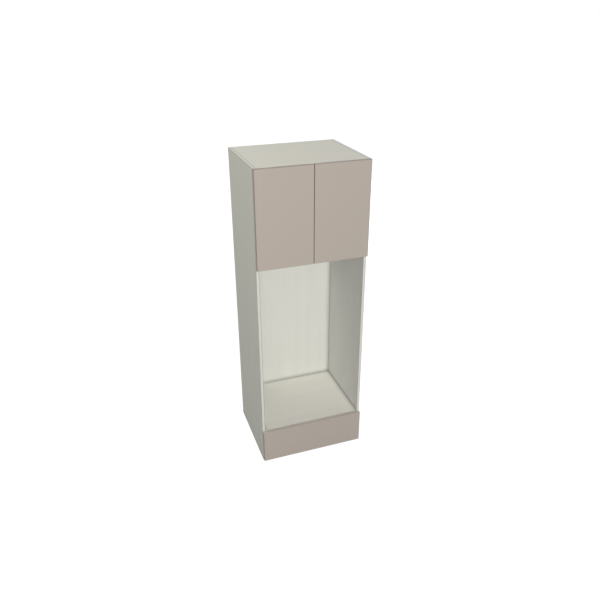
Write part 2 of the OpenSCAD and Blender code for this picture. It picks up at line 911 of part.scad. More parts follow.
drawer_outer_x = side_inner_x - runner_t - seat_gap;
drawer_inner_x = drawer_outer_x - drawer_board_t;
low_front_screw_xs = [-1, 1] * (drawer_inner_x - low_front_screw_inset);
drawer_l = runner_l;
drawer_back_y = front_back_y + drawer_l;
drawer_top_z = drawer_z + drawer_side_h;
bottom_groove = 5;
bottom_lift = 10;
drawer_bottom_z = drawer_z + bottom_lift;
box_screw_r = 1.9;
box_screw_depth = 30;
box_screw_inset = 12;
box_screw_zs = [drawer_bottom_z + drawer_bottom_t + box_screw_inset - 4,
  drawer_top_z - box_screw_inset];
box_screw_ys = [front_back_y + drawer_board_t / 2, drawer_back_y - drawer_board_t / 2];
box_head_r = 3.6;
box_head_t = 2;

// The groove that the drawer's bottom sits in
module drawer_groove() {
  reach = bottom_groove + groove_clearance / 2;
  box([-drawer_inner_x - reach, front_back_y + drawer_board_t - reach,
    drawer_bottom_z - groove_clearance / 2],
    [drawer_inner_x + reach, drawer_back_y - drawer_board_t + reach,
    drawer_bottom_z + drawer_bottom_t + groove_clearance / 2]);
}

module drawer_side() {
  difference() {
    box([-drawer_outer_x, front_back_y, drawer_z], [-drawer_inner_x, drawer_back_y,
      drawer_top_z]);
    drawer_groove();
    for (y = box_screw_ys, z = box_screw_zs) {
      rod_x([-drawer_outer_x - cut, y, z], box_screw_r + fixed_clearance,
        drawer_board_t + 2 * cut);
      rod_x([-drawer_outer_x - cut, y, z], box_head_r + fixed_clearance,
        box_head_t + seat_gap + cut);
    }
    for (y = drawer_member_screw_ys)
      rod_x([-drawer_outer_x - cut, y, runner_z], runner_screw_r + fixed_clearance,
        drawer_screw_depth + cut);
  }
}

module drawer_left_side() {
  color("white") drawer_side();
}

module drawer_right_side() {
  color("white") mirror([1, 0, 0]) drawer_side();
}

// A board across the drawer, between its sides
module drawer_cross_board(low_y) {
  difference() {
    box([-drawer_inner_x, low_y, drawer_z], [drawer_inner_x, low_y + drawer_board_t,
      drawer_top_z]);
    drawer_groove();
    both_sides() for (z = box_screw_zs)
      rod_x([-drawer_inner_x - cut, low_y + drawer_board_t / 2, z],
        box_screw_r + fixed_clearance, box_screw_depth - drawer_board_t + cut);
  }
}

module drawer_inner_front() {
  color("white") difference() {
    drawer_cross_board(front_back_y);
    for (x = low_front_screw_xs, z = low_front_screw_zs)
      rod_y([x, front_back_y - cut, z], low_front_screw_r + fixed_clearance,
        drawer_board_t + 2 * cut);
  }
}

module drawer_back() {
  color("white") drawer_cross_board(drawer_back_y - drawer_board_t);
}

module drawer_bottom() {
  color("white") box(
    [-drawer_inner_x - bottom_groove, front_back_y + drawer_board_t - bottom_groove,
      drawer_bottom_z],
    [drawer_inner_x + bottom_groove, drawer_back_y - drawer_board_t + bottom_groove,
      drawer_bottom_z + drawer_bottom_t]);
}

// Screws of the low front, and countersunk screws of the box's corners
module drawer_screws() {
  head_r = 4;
  head_t = 1.8;
  color("gray") {
    for (x = low_front_screw_xs, z = low_front_screw_zs) {
      rod_y([x, front_back_y - low_front_screw_depth + cut, z], low_front_screw_r,
        low_front_screw_depth - cut + drawer_board_t);
      rod_y([x, front_back_y + drawer_board_t, z], head_r, head_t);
    }
    both_sides() for (y = box_screw_ys, z = box_screw_zs) {
      rod_x([-drawer_outer_x + seat_gap, y, z], box_head_r, box_head_t);
      rod_x([-drawer_outer_x + seat_gap, y, z], box_screw_r, box_screw_depth - cut);
    }
  }
}

// ---------------------------------------------------------------- drawer runners
// Drawn on the left, as profiles in X and Z: x runs from the cabinet's side towards the
// drawer, z from the runner's middle line.

outer_race_z = runner_h / 2 - runner_steel_t;
ball_room = 2 * ball_r + seat_gap;
middle_outer_z = outer_race_z - ball_room;
inner_race_z = middle_outer_z - runner_steel_t;
drawer_member_z = inner_race_z - ball_room;
outer_lip_x = 10.2;
outer_lip_h = 1.6;
middle_web_x = runner_steel_t + 0.6;
middle_flange_x = 11;
drawer_flange_x = middle_web_x + runner_steel_t + 1.2;
outer_ball_x = 5.8;
inner_ball_x = 7.6;
outer_ball_z = outer_race_z - ball_room / 2;
inner_ball_z = inner_race_z - ball_room / 2;
cage_t = 0.8;
cage_l = 0.44 * runner_l;
cage_y = runner_y + 0.28 * runner_l;
cage_web_t = 0.4;
drawer_screw_depth = 8;
drawer_member_screw_ys = [for (share = [0.1, 0.45, 0.87]) runner_y + share * runner_l];
flush_head_r = 3;

// A channel profile between two depths, open towards high_x, with inward lips if lip > 0
module channel(low_x, high_x, half_z, steel, lip) {
  race_z = half_z - steel;
  upper = [
    [high_x, half_z], [high_x, race_z - lip], [high_x - steel, race_z - lip],
    [high_x - steel, race_z], [low_x + steel, race_z]
  ];
  plain = [[high_x, half_z], [high_x, race_z], [low_x + steel, race_z]];
  half = lip > 0 ? upper : plain;
  lower = [for (i = [len(half) - 1 : -1 : 0]) [half[i].x, -half[i].y]];
  polygon(concat([[low_x, -half_z], [low_x, half_z]], half, lower));
}

// Runs a profile along the runner, on the left
module runner_bar(low_y, length) {
  translate([-side_inner_x, low_y + length, runner_z]) rotate([90, 0, 0])
    linear_extrude(length) children();
}

module cabinet_member() {
  difference() {
    runner_bar(runner_y, runner_l)
      channel(0, outer_lip_x, runner_h / 2, runner_steel_t, outer_lip_h);
    for (y = runner_screw_ys) rod_x([-side_inner_x - cut, y, runner_z],
      flush_head_r + fixed_clearance, runner_steel_t + 2 * cut);
  }
}

module middle_member() {
  runner_bar(runner_y, runner_l)
    channel(middle_web_x, middle_flange_x, middle_outer_z, runner_steel_t, 0);
}

module drawer_member() {
  difference() {
    runner_bar(runner_y, runner_l - 10) translate([runner_t, 0]) mirror([1, 0])
      channel(0, runner_t - drawer_flange_x, drawer_member_z, runner_steel_t, 0);
    for (y = drawer_member_screw_ys)
      rod_x([-side_inner_x + runner_t - runner_steel_t - cut, y, runner_z],
        flush_head_r + fixed_clearance, runner_steel_t + 2 * cut);
  }
}

module left_cabinet_member() {
  color("silver") cabinet_member();
}

module right_cabinet_member() {
  color("silver") mirror([1, 0, 0]) cabinet_member();
}

module runner_middle_members() {
  color("silver") both_sides() middle_member();
}

module left_drawer_member() {
  color("silver") drawer_member();
}

module right_drawer_member() {
  color("silver") mirror([1, 0, 0]) drawer_member();
}

module cabinet_member_screws() {
  color("gray") both_sides() for (y = runner_screw_ys) {
    rod_x([-side_inner_x, y, runner_z], flush_head_r, runner_steel_t);
    rod_x([-side_inner_x - runner_screw_depth + cut, y, runner_z], runner_screw_r,
      runner_screw_depth);
  }
}

module drawer_member_screws() {
  color("gray") both_sides() for (y = drawer_member_screw_ys) {
    rod_x([-side_inner_x + runner_t - runner_steel_t, y, runner_z], flush_head_r,
      runner_steel_t);
    rod_x([-side_inner_x + runner_t - cut, y, runner_z], runner_screw_r,
      drawer_screw_depth);
  }
}

// Places along a row of balls
function ball_ys() = [for (i = [0.5 : balls_per_row]) cage_y + i * cage_l / balls_per_row];

// A thin steel cage with a hole for each ball
module ball_cage(web_x, edge_x, ball_x, ball_z) {
  difference() {
    runner_bar(cage_y, cage_l) {
      translate([web_x, -ball_z - cage_t / 2]) square([cage_web_t, 2 * ball_z + cage_t]);
      for (s = [-1, 1]) translate([web_x, s * ball_z - cage_t / 2])
        square([edge_x - web_x, cage_t]);
    }
    for (y = ball_ys(), s = [-1, 1])
      rod_z([-side_inner_x + ball_x, y, runner_z + s * ball_z - cage_t],
        ball_r + running_clearance, 2 * cage_t);
  }
}

module outer_ball_cages() {
  color("darkgray") both_sides()
    ball_cage(runner_steel_t + seat_gap, outer_ball_x + 2.4, outer_ball_x, outer_ball_z);
}

module inner_ball_cages() {
  color("darkgray") both_sides()
    ball_cage(middle_web_x + runner_steel_t + seat_gap, inner_ball_x + 2.4, inner_ball_x,
      inner_ball_z);
}

module ball_rows(ball_x, ball_z) {
  both_sides() for (y = ball_ys(), s = [-1, 1])
    translate([-side_inner_x + ball_x, y, runner_z + s * ball_z]) sphere(r = ball_r, $fn = 24);
}

module outer_balls() {
  color("white") ball_rows(outer_ball_x, outer_ball_z);
}

module inner_balls() {
  color("white") ball_rows(inner_ball_x, inner_ball_z);
}

// ---------------------------------------------------------------- assembly

left_side();
right_side();
top_panel();
cupboard_floor();
oven_shelf();
bottom_panel();
back_panel();
upper_fixing_rail();
lower_fixing_rail();
carcass_edge_bands();
adjustable_shelf();
shelf_pins();
cams();
connecting_bolts();
wood_dowels();
left_hinge_plates();
right_hinge_plates();
left_hinge_arms();
right_hinge_arms();
left_arm_pins();
right_arm_pins();
hinge_screws();
left_link_plates();
right_link_plates();
left_link_bars();
right_link_bars();
left_hinge_cups();
right_hinge_cups();
left_cup_pins();
right_cup_pins();
left_cup_screws();
right_cup_screws();
left_door();
right_door();
front_buffers();
latch_housings();
latch_screws();
left_latch_plunger();
right_latch_plunger();
drawer_latch_plunger();
low_front();
drawer_left_side();
drawer_right_side();
drawer_inner_front();
drawer_back();
drawer_bottom();
drawer_screws();
left_cabinet_member();
right_cabinet_member();
cabinet_member_screws();
runner_middle_members();
left_drawer_member();
right_drawer_member();
drawer_member_screws();
outer_ball_cages();
inner_ball_cages();
outer_balls();
inner_balls();
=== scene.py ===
import math

import bmesh
import bpy
from mathutils import Matrix, Vector


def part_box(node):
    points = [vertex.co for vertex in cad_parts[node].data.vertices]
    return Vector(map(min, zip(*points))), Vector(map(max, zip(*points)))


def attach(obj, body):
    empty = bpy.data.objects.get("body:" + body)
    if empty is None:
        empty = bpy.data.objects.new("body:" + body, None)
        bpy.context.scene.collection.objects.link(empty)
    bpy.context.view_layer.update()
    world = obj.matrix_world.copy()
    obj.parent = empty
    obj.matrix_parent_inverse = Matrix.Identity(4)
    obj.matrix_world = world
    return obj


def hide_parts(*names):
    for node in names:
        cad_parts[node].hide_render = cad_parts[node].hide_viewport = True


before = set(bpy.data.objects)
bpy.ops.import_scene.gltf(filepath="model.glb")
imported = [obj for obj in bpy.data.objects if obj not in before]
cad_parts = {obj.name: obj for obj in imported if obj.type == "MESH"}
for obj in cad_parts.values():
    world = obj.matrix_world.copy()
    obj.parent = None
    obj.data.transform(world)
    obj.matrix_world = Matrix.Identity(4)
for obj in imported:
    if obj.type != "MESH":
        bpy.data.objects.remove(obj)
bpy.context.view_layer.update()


# ------------------------------------------------------------------ camera
# The photograph's view: from the front left and above the unit's top. The place and the lens
# come from a camera fitted to the edges of the boards and fronts. It looks 19 degrees to the
# right and 26 degrees down.
def turn(degrees, axis):
    return Matrix.Rotation(math.radians(degrees), 4, axis)


lens = bpy.data.cameras.new("camera")
lens.sensor_width = 36
lens.lens = 35.458
camera = bpy.data.objects.new("camera", lens)
bpy.context.scene.collection.objects.link(camera)
camera.matrix_world = (
    Matrix.Translation((-0.9738, -2.8453, 2.3851))
    @ turn(-19.086, "Z") @ turn(90 - 26.462, "X") @ turn(-0.282, "Z")
)
bpy.context.scene.camera = camera
bpy.context.scene.view_settings.view_transform = "Standard"


# ------------------------------------------------------------------ studio
# A white room with even light. The strength that the camera, glossy and clear surfaces see is
# plain white; what falls on the unit is weaker, and the lamps do the rest.
def add(tree, kind, inputs=None, **settings):
    """Adds a node with its settings; an input is given a value or the socket that feeds it."""
    node = tree.nodes.new(kind)
    for name, value in settings.items():
        setattr(node, name, value)
    for name, value in (inputs or {}).items():
        if isinstance(value, bpy.types.NodeSocket):
            tree.links.new(value, node.inputs[name])
        else:
            node.inputs[name].default_value = value
    return node


def paint(hexadecimal):
    """An sRGB hex colour as linear red, green and blue, and an alpha of 1."""
    parts = [int(hexadecimal[i : i + 2], 16) / 255 for i in (1, 3, 5)]
    linear = [c / 12.92 if c <= 0.04045 else ((c + 0.055) / 1.055) ** 2.4 for c in parts]
    return (*linear, 1.0)


def looked_at(tree):
    """1 for the camera and for what mirrors or shows through, and 0 for light that falls."""
    rays = add(tree, "ShaderNodeLightPath").outputs
    mirrored = add(tree, "ShaderNodeMath",
                   {0: rays["Is Glossy Ray"], 1: rays["Is Transmission Ray"]},
                   operation="MAXIMUM")
    seen = add(tree, "ShaderNodeMath",
               {0: rays["Is Camera Ray"], 1: mirrored.outputs[0]}, operation="MAXIMUM")
    return seen.outputs[0]


room = bpy.data.worlds.new("white room")
bpy.context.scene.world = room
room.use_nodes = True
room.node_tree.nodes.clear()
level = add(room.node_tree, "ShaderNodeMapRange",
            {"Value": looked_at(room.node_tree), "To Min": 0.14, "To Max": 1.0})
light = add(room.node_tree, "ShaderNodeBackground",
            {"Color": paint("#ffffff"), "Strength": level.outputs[0]})
add(room.node_tree, "ShaderNodeOutputWorld", {"Surface": light.outputs[0]})


def lamp(name, place, target, size, watts):
    """A square soft box that faces a point of the unit."""
    data = bpy.data.lights.new(name, "AREA")
    data.size = size
    data.energy = watts
    box = bpy.data.objects.new(name, data)
    bpy.context.scene.collection.objects.link(box)
    aim = Vector(target) - Vector(place)
    box.matrix_world = Matrix.Translation(place) @ aim.to_track_quat("-Z", "Y").to_matrix().to_4x4()


lamp("front soft box", (-2.1, -7.8, 4.35), (0, 0, 1.0), 0.5, 622)
lamp("upper left soft box", (-1.9, 0.8, 4.1), (-0.3, 0, 1.5), 0.8, 35)
lamp("rear soft box", (5.3, 4.5, 2.2), (0, 0, 1.0), 2.0, 370)


def new_material(name):
    """An empty material, its node tree, and where a point of the surface lies on the unit."""
    made = bpy.data.materials.new(name)
    made.use_nodes = True
    made.node_tree.nodes.clear()
    place = add(made.node_tree, "ShaderNodeTexCoord").outputs["Object"]
    return made, made.node_tree, place


# The floor is matt paper. It keeps the unit's shadow, and the camera sees it brighter than
# it is lit, so that it runs into the white room: plain white from 4 m out.
paper, tree, place = new_material("white paper floor")
matt = add(tree, "ShaderNodeBsdfDiffuse", {"Color": paint("#808080")})
away = add(tree, "ShaderNodeVectorMath", {0: place}, operation="LENGTH")
fade = add(tree, "ShaderNodeMapRange",
           {"Value": away.outputs["Value"], "From Min": 1.0, "From Max": 4.0,
            "To Min": 0.9, "To Max": 1.0}, interpolation_type="SMOOTHSTEP")
extra = add(tree, "ShaderNodeMath", {0: looked_at(tree), 1: fade.outputs[0]},
            operation="MULTIPLY")
glow = add(tree, "ShaderNodeEmission", {"Strength": extra.outputs[0]})
both = add(tree, "ShaderNodeAddShader", {0: matt.outputs[0], 1: glow.outputs[0]})
add(tree, "ShaderNodeOutputMaterial", {"Surface": both.outputs[0]})

shape = bmesh.new()
bmesh.ops.create_grid(shape, x_segments=4, y_segments=4, size=30)
mesh = bpy.data.meshes.new("floor")
shape.to_mesh(mesh)
shape.free()
mesh.materials.append(paper)
floor = bpy.data.objects.new("floor", mesh)
bpy.context.scene.collection.objects.link(floor)


# ------------------------------------------------------------------ sides
# Two boards of 16 mm chipboard faced with melamine paper: pale grey-green with a faint grain
# that runs up the board. The joints show as fine dark lines, and the rear edge is bare.
def arris_distance(tree, place, low, high):
    """How far a point on a board is from the board's nearest edge, in metres."""
    middle, half = (low + high) / 2, (high - low) / 2
    offset = add(tree, "ShaderNodeVectorMath", {0: place, 1: middle}, operation="SUBTRACT")
    away = add(tree, "ShaderNodeVectorMath", {0: offset.outputs[0]}, operation="ABSOLUTE")
    inside = add(tree, "ShaderNodeVectorMath", {0: half, 1: away.outputs[0]},
                 operation="SUBTRACT")
    x, y, z = add(tree, "ShaderNodeSeparateXYZ", {0: inside.outputs[0]}).outputs
    least = add(tree, "ShaderNodeMath", {0: x, 1: y}, operation="MINIMUM").outputs[0]
    most = add(tree, "ShaderNodeMath", {0: x, 1: y}, operation="MAXIMUM").outputs[0]
    third = add(tree, "ShaderNodeMath", {0: most, 1: z}, operation="MINIMUM").outputs[0]
    return add(tree, "ShaderNodeMath", {0: least, 1: third}, operation="MAXIMUM").outputs[0]


def chips(tree, place):
    """Bare chipboard: pressed chips 2 to 3 mm across, from pale to brown."""
    cells = add(tree, "ShaderNodeTexVoronoi", {"Vector": place, "Scale": 1 / 0.0026})
    shade = add(tree, "ShaderNodeSeparateColor", {0: cells.outputs["Color"]}).outputs[0]
    # A colour mix takes its two colours at 6 and 7 and gives the result at 2
    wood = add(tree, "ShaderNodeMix", {0: shade, 6: paint("#d6c3a0"), 7: paint("#b39a74")},
               data_type="RGBA")
    return wood.outputs[2]


def drawn_out(grain, width, length):
    """The scale that makes a pattern this wide, in metres, and this long along one axis."""
    scale = [1 / width] * 3
    scale["XYZ".index(grain)] = 1 / length
    return scale


def darker(colour, share):
    """A linear colour at a share of its brightness."""
    return tuple(part * share for part in colour[:3]) + (1.0,)


glue_line = paint("#77776c")


def faced_board(node, grain, paper_colour="#d8d8ce", bare_rear=False, corner_shade=0.6,
                recess_shade=0.92):
    """Melamine-faced chipboard for one board; grain names the axis that the print runs along.

    The shade arguments are the share of the colour that painted shade leaves in a corner and deep
    in a recess.
    """
    low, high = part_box(node)
    melamine, tree, place = new_material("melamine-faced board, " + node.replace("_", " "))
    # Printed streaks 6 mm wide and 0.4 m long, coarser than the real pores so that they show
    fibres = add(tree, "ShaderNodeMapping",
                 {"Vector": place, "Scale": drawn_out(grain, 0.006, 0.4)})
    streaks = add(tree, "ShaderNodeTexNoise",
                  {"Vector": fibres.outputs[0], "Scale": 1.0, "Detail": 3, "Roughness": 0.6})
    # Broad clouds of the print, 45 mm wide and 0.7 m long
    bands = add(tree, "ShaderNodeMapping",
                {"Vector": place, "Scale": drawn_out(grain, 0.045, 0.7)})
    clouds = add(tree, "ShaderNodeTexNoise",
                 {"Vector": bands.outputs[0], "Scale": 1.0, "Detail": 2})
    tone = add(tree, "ShaderNodeMath", {0: streaks.outputs[0], 1: clouds.outputs[0]},
               operation="ADD")
    tone = add(tree, "ShaderNodeMapRange",
               {"Value": tone.outputs[0], "From Min": 0.7, "From Max": 1.3})
    light_paper = paint(paper_colour)
    printed = add(tree, "ShaderNodeMix",
                  {0: tone.outputs[0], 6: darker(light_paper, 0.955), 7: light_paper},
                  data_type="RGBA").outputs[2]
    # The glue line at each edge fades from 0.6 to 3 mm, as wide as it has to be to show
    near = arris_distance(tree, place, low, high)
    line = add(tree, "ShaderNodeMapRange",
               {"Value": near, "From Min": 0.0006, "From Max": 0.0030, "To Min": 0.55, "To Max": 0},
               interpolation_type="SMOOTHSTEP")
    colour = add(tree, "ShaderNodeMix",
                 {0: line.outputs[0], 6: printed, 7: glue_line}, data_type="RGBA").outputs[2]
    # Painted shade: inner corners are darker over 30 mm, from an ambient occlusion node multiplied
    # into the colour
    corner = add(tree, "ShaderNodeAmbientOcclusion", {"Distance": 0.03}, samples=8)
    shade = add(tree, "ShaderNodeMapRange",
                {"Value": corner.outputs["AO"], "From Min": 0.45, "From Max": 0.95,
                 "To Min": corner_shade, "To Max": 1.0})
    # Painted shade: a recess is a little darker all over, within 0.35 m, from a second ambient
    # occlusion node
    recess = add(tree, "ShaderNodeAmbientOcclusion", {"Distance": 0.35}, samples=8)
    soft = add(tree, "ShaderNodeMapRange",
               {"Value": recess.outputs["AO"], "From Min": 0.45, "From Max": 0.95,
                "To Min": recess_shade, "To Max": 1.0})
    shade = add(tree, "ShaderNodeMath", {0: shade.outputs[0], 1: soft.outputs[0]},
                operation="MULTIPLY")
    colour = add(tree, "ShaderNodeMix",
                 {0: 1.0, 6: colour, 7: shade.outputs[0]}, data_type="RGBA",
                 blend_type="MULTIPLY").outputs[2]
    # The rear edge has no band, and the chips show
    if bare_rear:
        y = add(tree, "ShaderNodeSeparateXYZ", {0: place}).outputs[1]
        rear = add(tree, "ShaderNodeMath", {0: y, 1: high.y - 0.0002}, operation="GREATER_THAN")
        colour = add(tree, "ShaderNodeMix",
                     {0: rear.outputs[0], 6: colour, 7: chips(tree, place)},
                     data_type="RGBA").outputs[2]
    pores = add(tree, "ShaderNodeBump",
                {"Height": streaks.outputs[0], "Strength": 0.35, "Distance": 0.00012})
    sheen = add(tree, "ShaderNodeMapRange",
                {"Value": streaks.outputs[0], "To Min": 0.5, "To Max": 0.66})
    face = add(tree, "ShaderNodeBsdfPrincipled",
               {"Base Color": colour, "Roughness": sheen.outputs[0], "IOR": 1.5,
                "Specular IOR Level": 0.3, "Normal": pores.outputs[0]})
    add(tree, "ShaderNodeOutputMaterial", {"Surface": face.outputs[0]})
    return melamine


def dress(node, material):
    """Gives a CAD node its material."""
    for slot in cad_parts[node].material_slots:
        slot.material = material


dress("left_side", faced_board("left_side", "Z", "#d8d8cb", bare_rear=True))
# Painted light: the right side's paper is lighter than the left's, making up for light that falls
# short on its inner face in the oven space
dress("right_side", faced_board("right_side", "Z", "#dddcd7", bare_rear=True))

# ------------------------------------------------------------------ panels between the sides
# The top and bottom, the cupboard's floor and the oven shelf are the same board, with the grain
# running across the unit. They are held to the sides by cams and dowels. Their papers come from
# other batches, a little warmer on the top. The shelf's is lighter as painted light, making up for
# light that falls short in the oven space.
for panel in ("top_panel", "bottom_panel"):
    dress(panel, faced_board(panel, "X", "#dad8cb", bare_rear=True))
dress("cupboard_floor", faced_board("cupboard_floor", "X", "#dad8cb"))
# Painted light: a lighter paper on the shelf, and no painted recess shade
dress("oven_shelf", faced_board("oven_shelf", "X", "#edebe2", recess_shade=1.0))

# ------------------------------------------------------------------ back panel
# An 8 mm board faced with the same paper, a shade lighter as painted light that makes up for light
# falling short in the recess. It is slid into grooves in the sides, the top and the bottom, 16 mm
# in from their rear edges.
dress("back_panel", faced_board("back_panel", "Z", "#dbdbd3"))

# ------------------------------------------------------------------ fixing rails
# Two strips of bare chipboard behind the back panel, dowelled between the sides. The wall
# screws go through the upper one.
chipboard, tree, place = new_material("bare chipboard")
# Saw marks and torn chips, 1 mm
dust = add(tree, "ShaderNodeTexNoise", {"Vector": place, "Scale": 1 / 0.001, "Detail": 3})
rough = add(tree, "ShaderNodeBump",
            {"Height": dust.outputs[0], "Strength": 0.6, "Distance": 0.0003})
face = add(tree, "ShaderNodeBsdfPrincipled",
           {"Base Color": chips(tree, place), "Roughness": 0.85, "IOR": 1.5,
            "Specular IOR Level": 0.2, "Normal": rough.outputs[0]})
add(tree, "ShaderNodeOutputMaterial", {"Surface": face.outputs[0]})
for rail in ("upper_fixing_rail", "lower_fixing_rail"):
    dress(rail, chipboard)

# ------------------------------------------------------------------ edge bands
# 1 mm ABS strips in the board's colour, hot-glued to the front edges and scraped flush. They
# are a little smoother than the paper faces.
band, tree, place = new_material("ABS edge band")
# The extruded strip has a fine haircell texture, 0.8 mm
cells = add(tree, "ShaderNodeTexNoise", {"Vector": place, "Scale": 1 / 0.0008, "Detail": 2})
tint = add(tree, "ShaderNodeMix",
           {0: cells.outputs[0], 6: paint("#d3d3c9"), 7: paint("#dadad0")}, data_type="RGBA")
# The glue line shows along both edges of each side's strip, over 2 to 3 mm, and on the
# strip's narrow faces, which are 1 mm deep
low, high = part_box("left_side")
outer_face, inner_face = -low.x, -high.x
x, y, z = add(tree, "ShaderNodeSeparateXYZ", {0: place}).outputs
across = add(tree, "ShaderNodeMath", {0: x}, operation="ABSOLUTE").outputs[0]
on_side = add(tree, "ShaderNodeMath", {0: across, 1: inner_face - 0.00005},
              operation="GREATER_THAN")
inner = add(tree, "ShaderNodeMapRange",
            {"Value": across, "From Min": inner_face + 0.0010, "From Max": inner_face + 0.0035,
             "To Min": 0.6, "To Max": 0}, interpolation_type="SMOOTHSTEP")
inner = add(tree, "ShaderNodeMath", {0: on_side.outputs[0], 1: inner.outputs[0]},
            operation="MULTIPLY")
outer = add(tree, "ShaderNodeMapRange",
            {"Value": across, "From Min": outer_face - 0.0025, "From Max": outer_face - 0.0007,
             "To Max": 0.6}, interpolation_type="SMOOTHSTEP")
edges = add(tree, "ShaderNodeMath", {0: inner.outputs[0], 1: outer.outputs[0]},
            operation="MAXIMUM")
front_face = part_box("carcass_edge_bands")[0].y
behind = add(tree, "ShaderNodeMapRange",
             {"Value": y, "From Min": front_face + 0.0001, "From Max": front_face + 0.0005,
              "To Max": 0.35})
glue = add(tree, "ShaderNodeMath", {0: edges.outputs[0], 1: behind.outputs[0]},
           operation="MAXIMUM")
tint = add(tree, "ShaderNodeMix",
           {0: glue.outputs[0], 6: tint.outputs[2], 7: glue_line}, data_type="RGBA")
skin = add(tree, "ShaderNodeBump",
           {"Height": cells.outputs[0], "Strength": 0.3, "Distance": 0.00005})
face = add(tree, "ShaderNodeBsdfPrincipled",
           {"Base Color": tint.outputs[2], "Roughness": 0.48, "IOR": 1.5,
            "Specular IOR Level": 0.35, "Normal": skin.outputs[0]})
add(tree, "ShaderNodeOutputMaterial", {"Surface": face.outputs[0]})
dress("carcass_edge_bands", band)


# ------------------------------------------------------------------ carcass fittings
# Die-cast cams, steel connecting bolts and beech dowels sit in bores where the panels meet
# the sides. Their cut faces show from inside the cupboard and from below.
def metal(name, colour, roughness):
    """A bare or plated metal with a grain of 0.4 mm and patches of other gloss, 9 mm wide."""
    made, tree, place = new_material(name)
    fine = add(tree, "ShaderNodeTexNoise", {"Vector": place, "Scale": 1 / 0.0004, "Detail": 2})
    patch = add(tree, "ShaderNodeTexNoise", {"Vector": place, "Scale": 1 / 0.009, "Detail": 3})
    gloss = add(tree, "ShaderNodeMapRange",
                {"Value": patch.outputs[0], "From Min": 0.3, "From Max": 0.7,
                 "To Min": roughness - 0.06, "To Max": roughness + 0.08})
    tint = add(tree, "ShaderNodeMix",
               {0: patch.outputs[0], 6: paint(colour), 7: darker(paint(colour), 0.86)},
               data_type="RGBA")
    grain = add(tree, "ShaderNodeBump",
                {"Height": fine.outputs[0], "Strength": 0.4, "Distance": 0.00002})
    face = add(tree, "ShaderNodeBsdfPrincipled",
               {"Base Color": tint.outputs[2], "Metallic": 1.0,
                "Roughness": gloss.outputs[0], "Normal": grain.outputs[0]})
    add(tree, "ShaderNodeOutputMaterial", {"Surface": face.outputs[0]})
    return made


# Zinc alloy straight from the mould is dull and slightly grainy
zinc_casting = metal("die-cast zinc alloy", "#a9a9a5", 0.42)
# Zinc-plated steel is a cool grey with soft patches
zinc_plate = metal("zinc-plated steel", "#b9bbbb", 0.34)
dress("cams", zinc_casting)
dress("connecting_bolts", zinc_plate)

# Beech has short flecks, 8 mm long and 0.6 mm wide, along the dowel
beech, tree, place = new_material("beech dowel")
along = add(tree, "ShaderNodeMapping",
            {"Vector": place, "Scale": drawn_out("X", 0.0006, 0.008)})
flecks = add(tree, "ShaderNodeTexNoise", {"Vector": along.outputs[0], "Scale": 1.0})
tint = add(tree, "ShaderNodeMix",
           {0: flecks.outputs[0], 6: paint("#d6b98c"), 7: paint("#b8905c")}, data_type="RGBA")
face = add(tree, "ShaderNodeBsdfPrincipled",
           {"Base Color": tint.outputs[2], "Roughness": 0.7, "IOR": 1.5})
add(tree, "ShaderNodeOutputMaterial", {"Surface": face.outputs[0]})
dress("wood_dowels", beech)

# ------------------------------------------------------------------ adjustable shelf
# One loose board, faced like the others. It lies on four nickel-plated pins with collars, in
# the middle one of five rows of holes that step by 32 mm.
dress("adjustable_shelf", faced_board("adjustable_shelf", "X"))
# Nickel is warmer and brighter than zinc
nickel = metal("nickel-plated steel", "#c8c4bb", 0.24)
dress("shelf_pins", nickel)

# ------------------------------------------------------------------ concealed hinges
# Each door hangs on two cup hinges: a die-cast plate on the side, a pressed steel arm, two
# pressed links and a deep-drawn cup, all nickel-plated, joined by steel pins.
polished_pin = metal("turned steel pin", "#b7b6b2", 0.18)
for side in ("left", "right"):
    dress(side + "_hinge_plates", zinc_casting)
    for part in ("_hinge_arms", "_link_plates", "_link_bars", "_hinge_cups"):
        dress(side + part, nickel)
    for part in ("_arm_pins", "_cup_pins"):
        dress(side + part, polished_pin)


# ------------------------------------------------------------------ screws
# Every screw of the unit is zinc-plated steel with a cross recess and a rolled thread. Each
# stands where its CAD solid is, with the head at the end that the screwdriver reaches.
def solids(node):
    """The lowest and highest corner of each separate solid of a CAD node."""
    shape = bmesh.new()
    shape.from_mesh(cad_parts[node].data)
    bmesh.ops.remove_doubles(shape, verts=shape.verts, dist=1e-6)
    waiting, found = set(shape.verts), []
    while waiting:
        island = [waiting.pop()]
        for vertex in island:
            for edge in vertex.link_edges:
                other = edge.other_vert(vertex)
                if other in waiting:
                    waiting.remove(other)
                    island.append(other)
        corners = [[v.co[axis] for v in island] for axis in range(3)]
        found.append((Vector(map(min, corners)), Vector(map(max, corners))))
    shape.free()
    return found


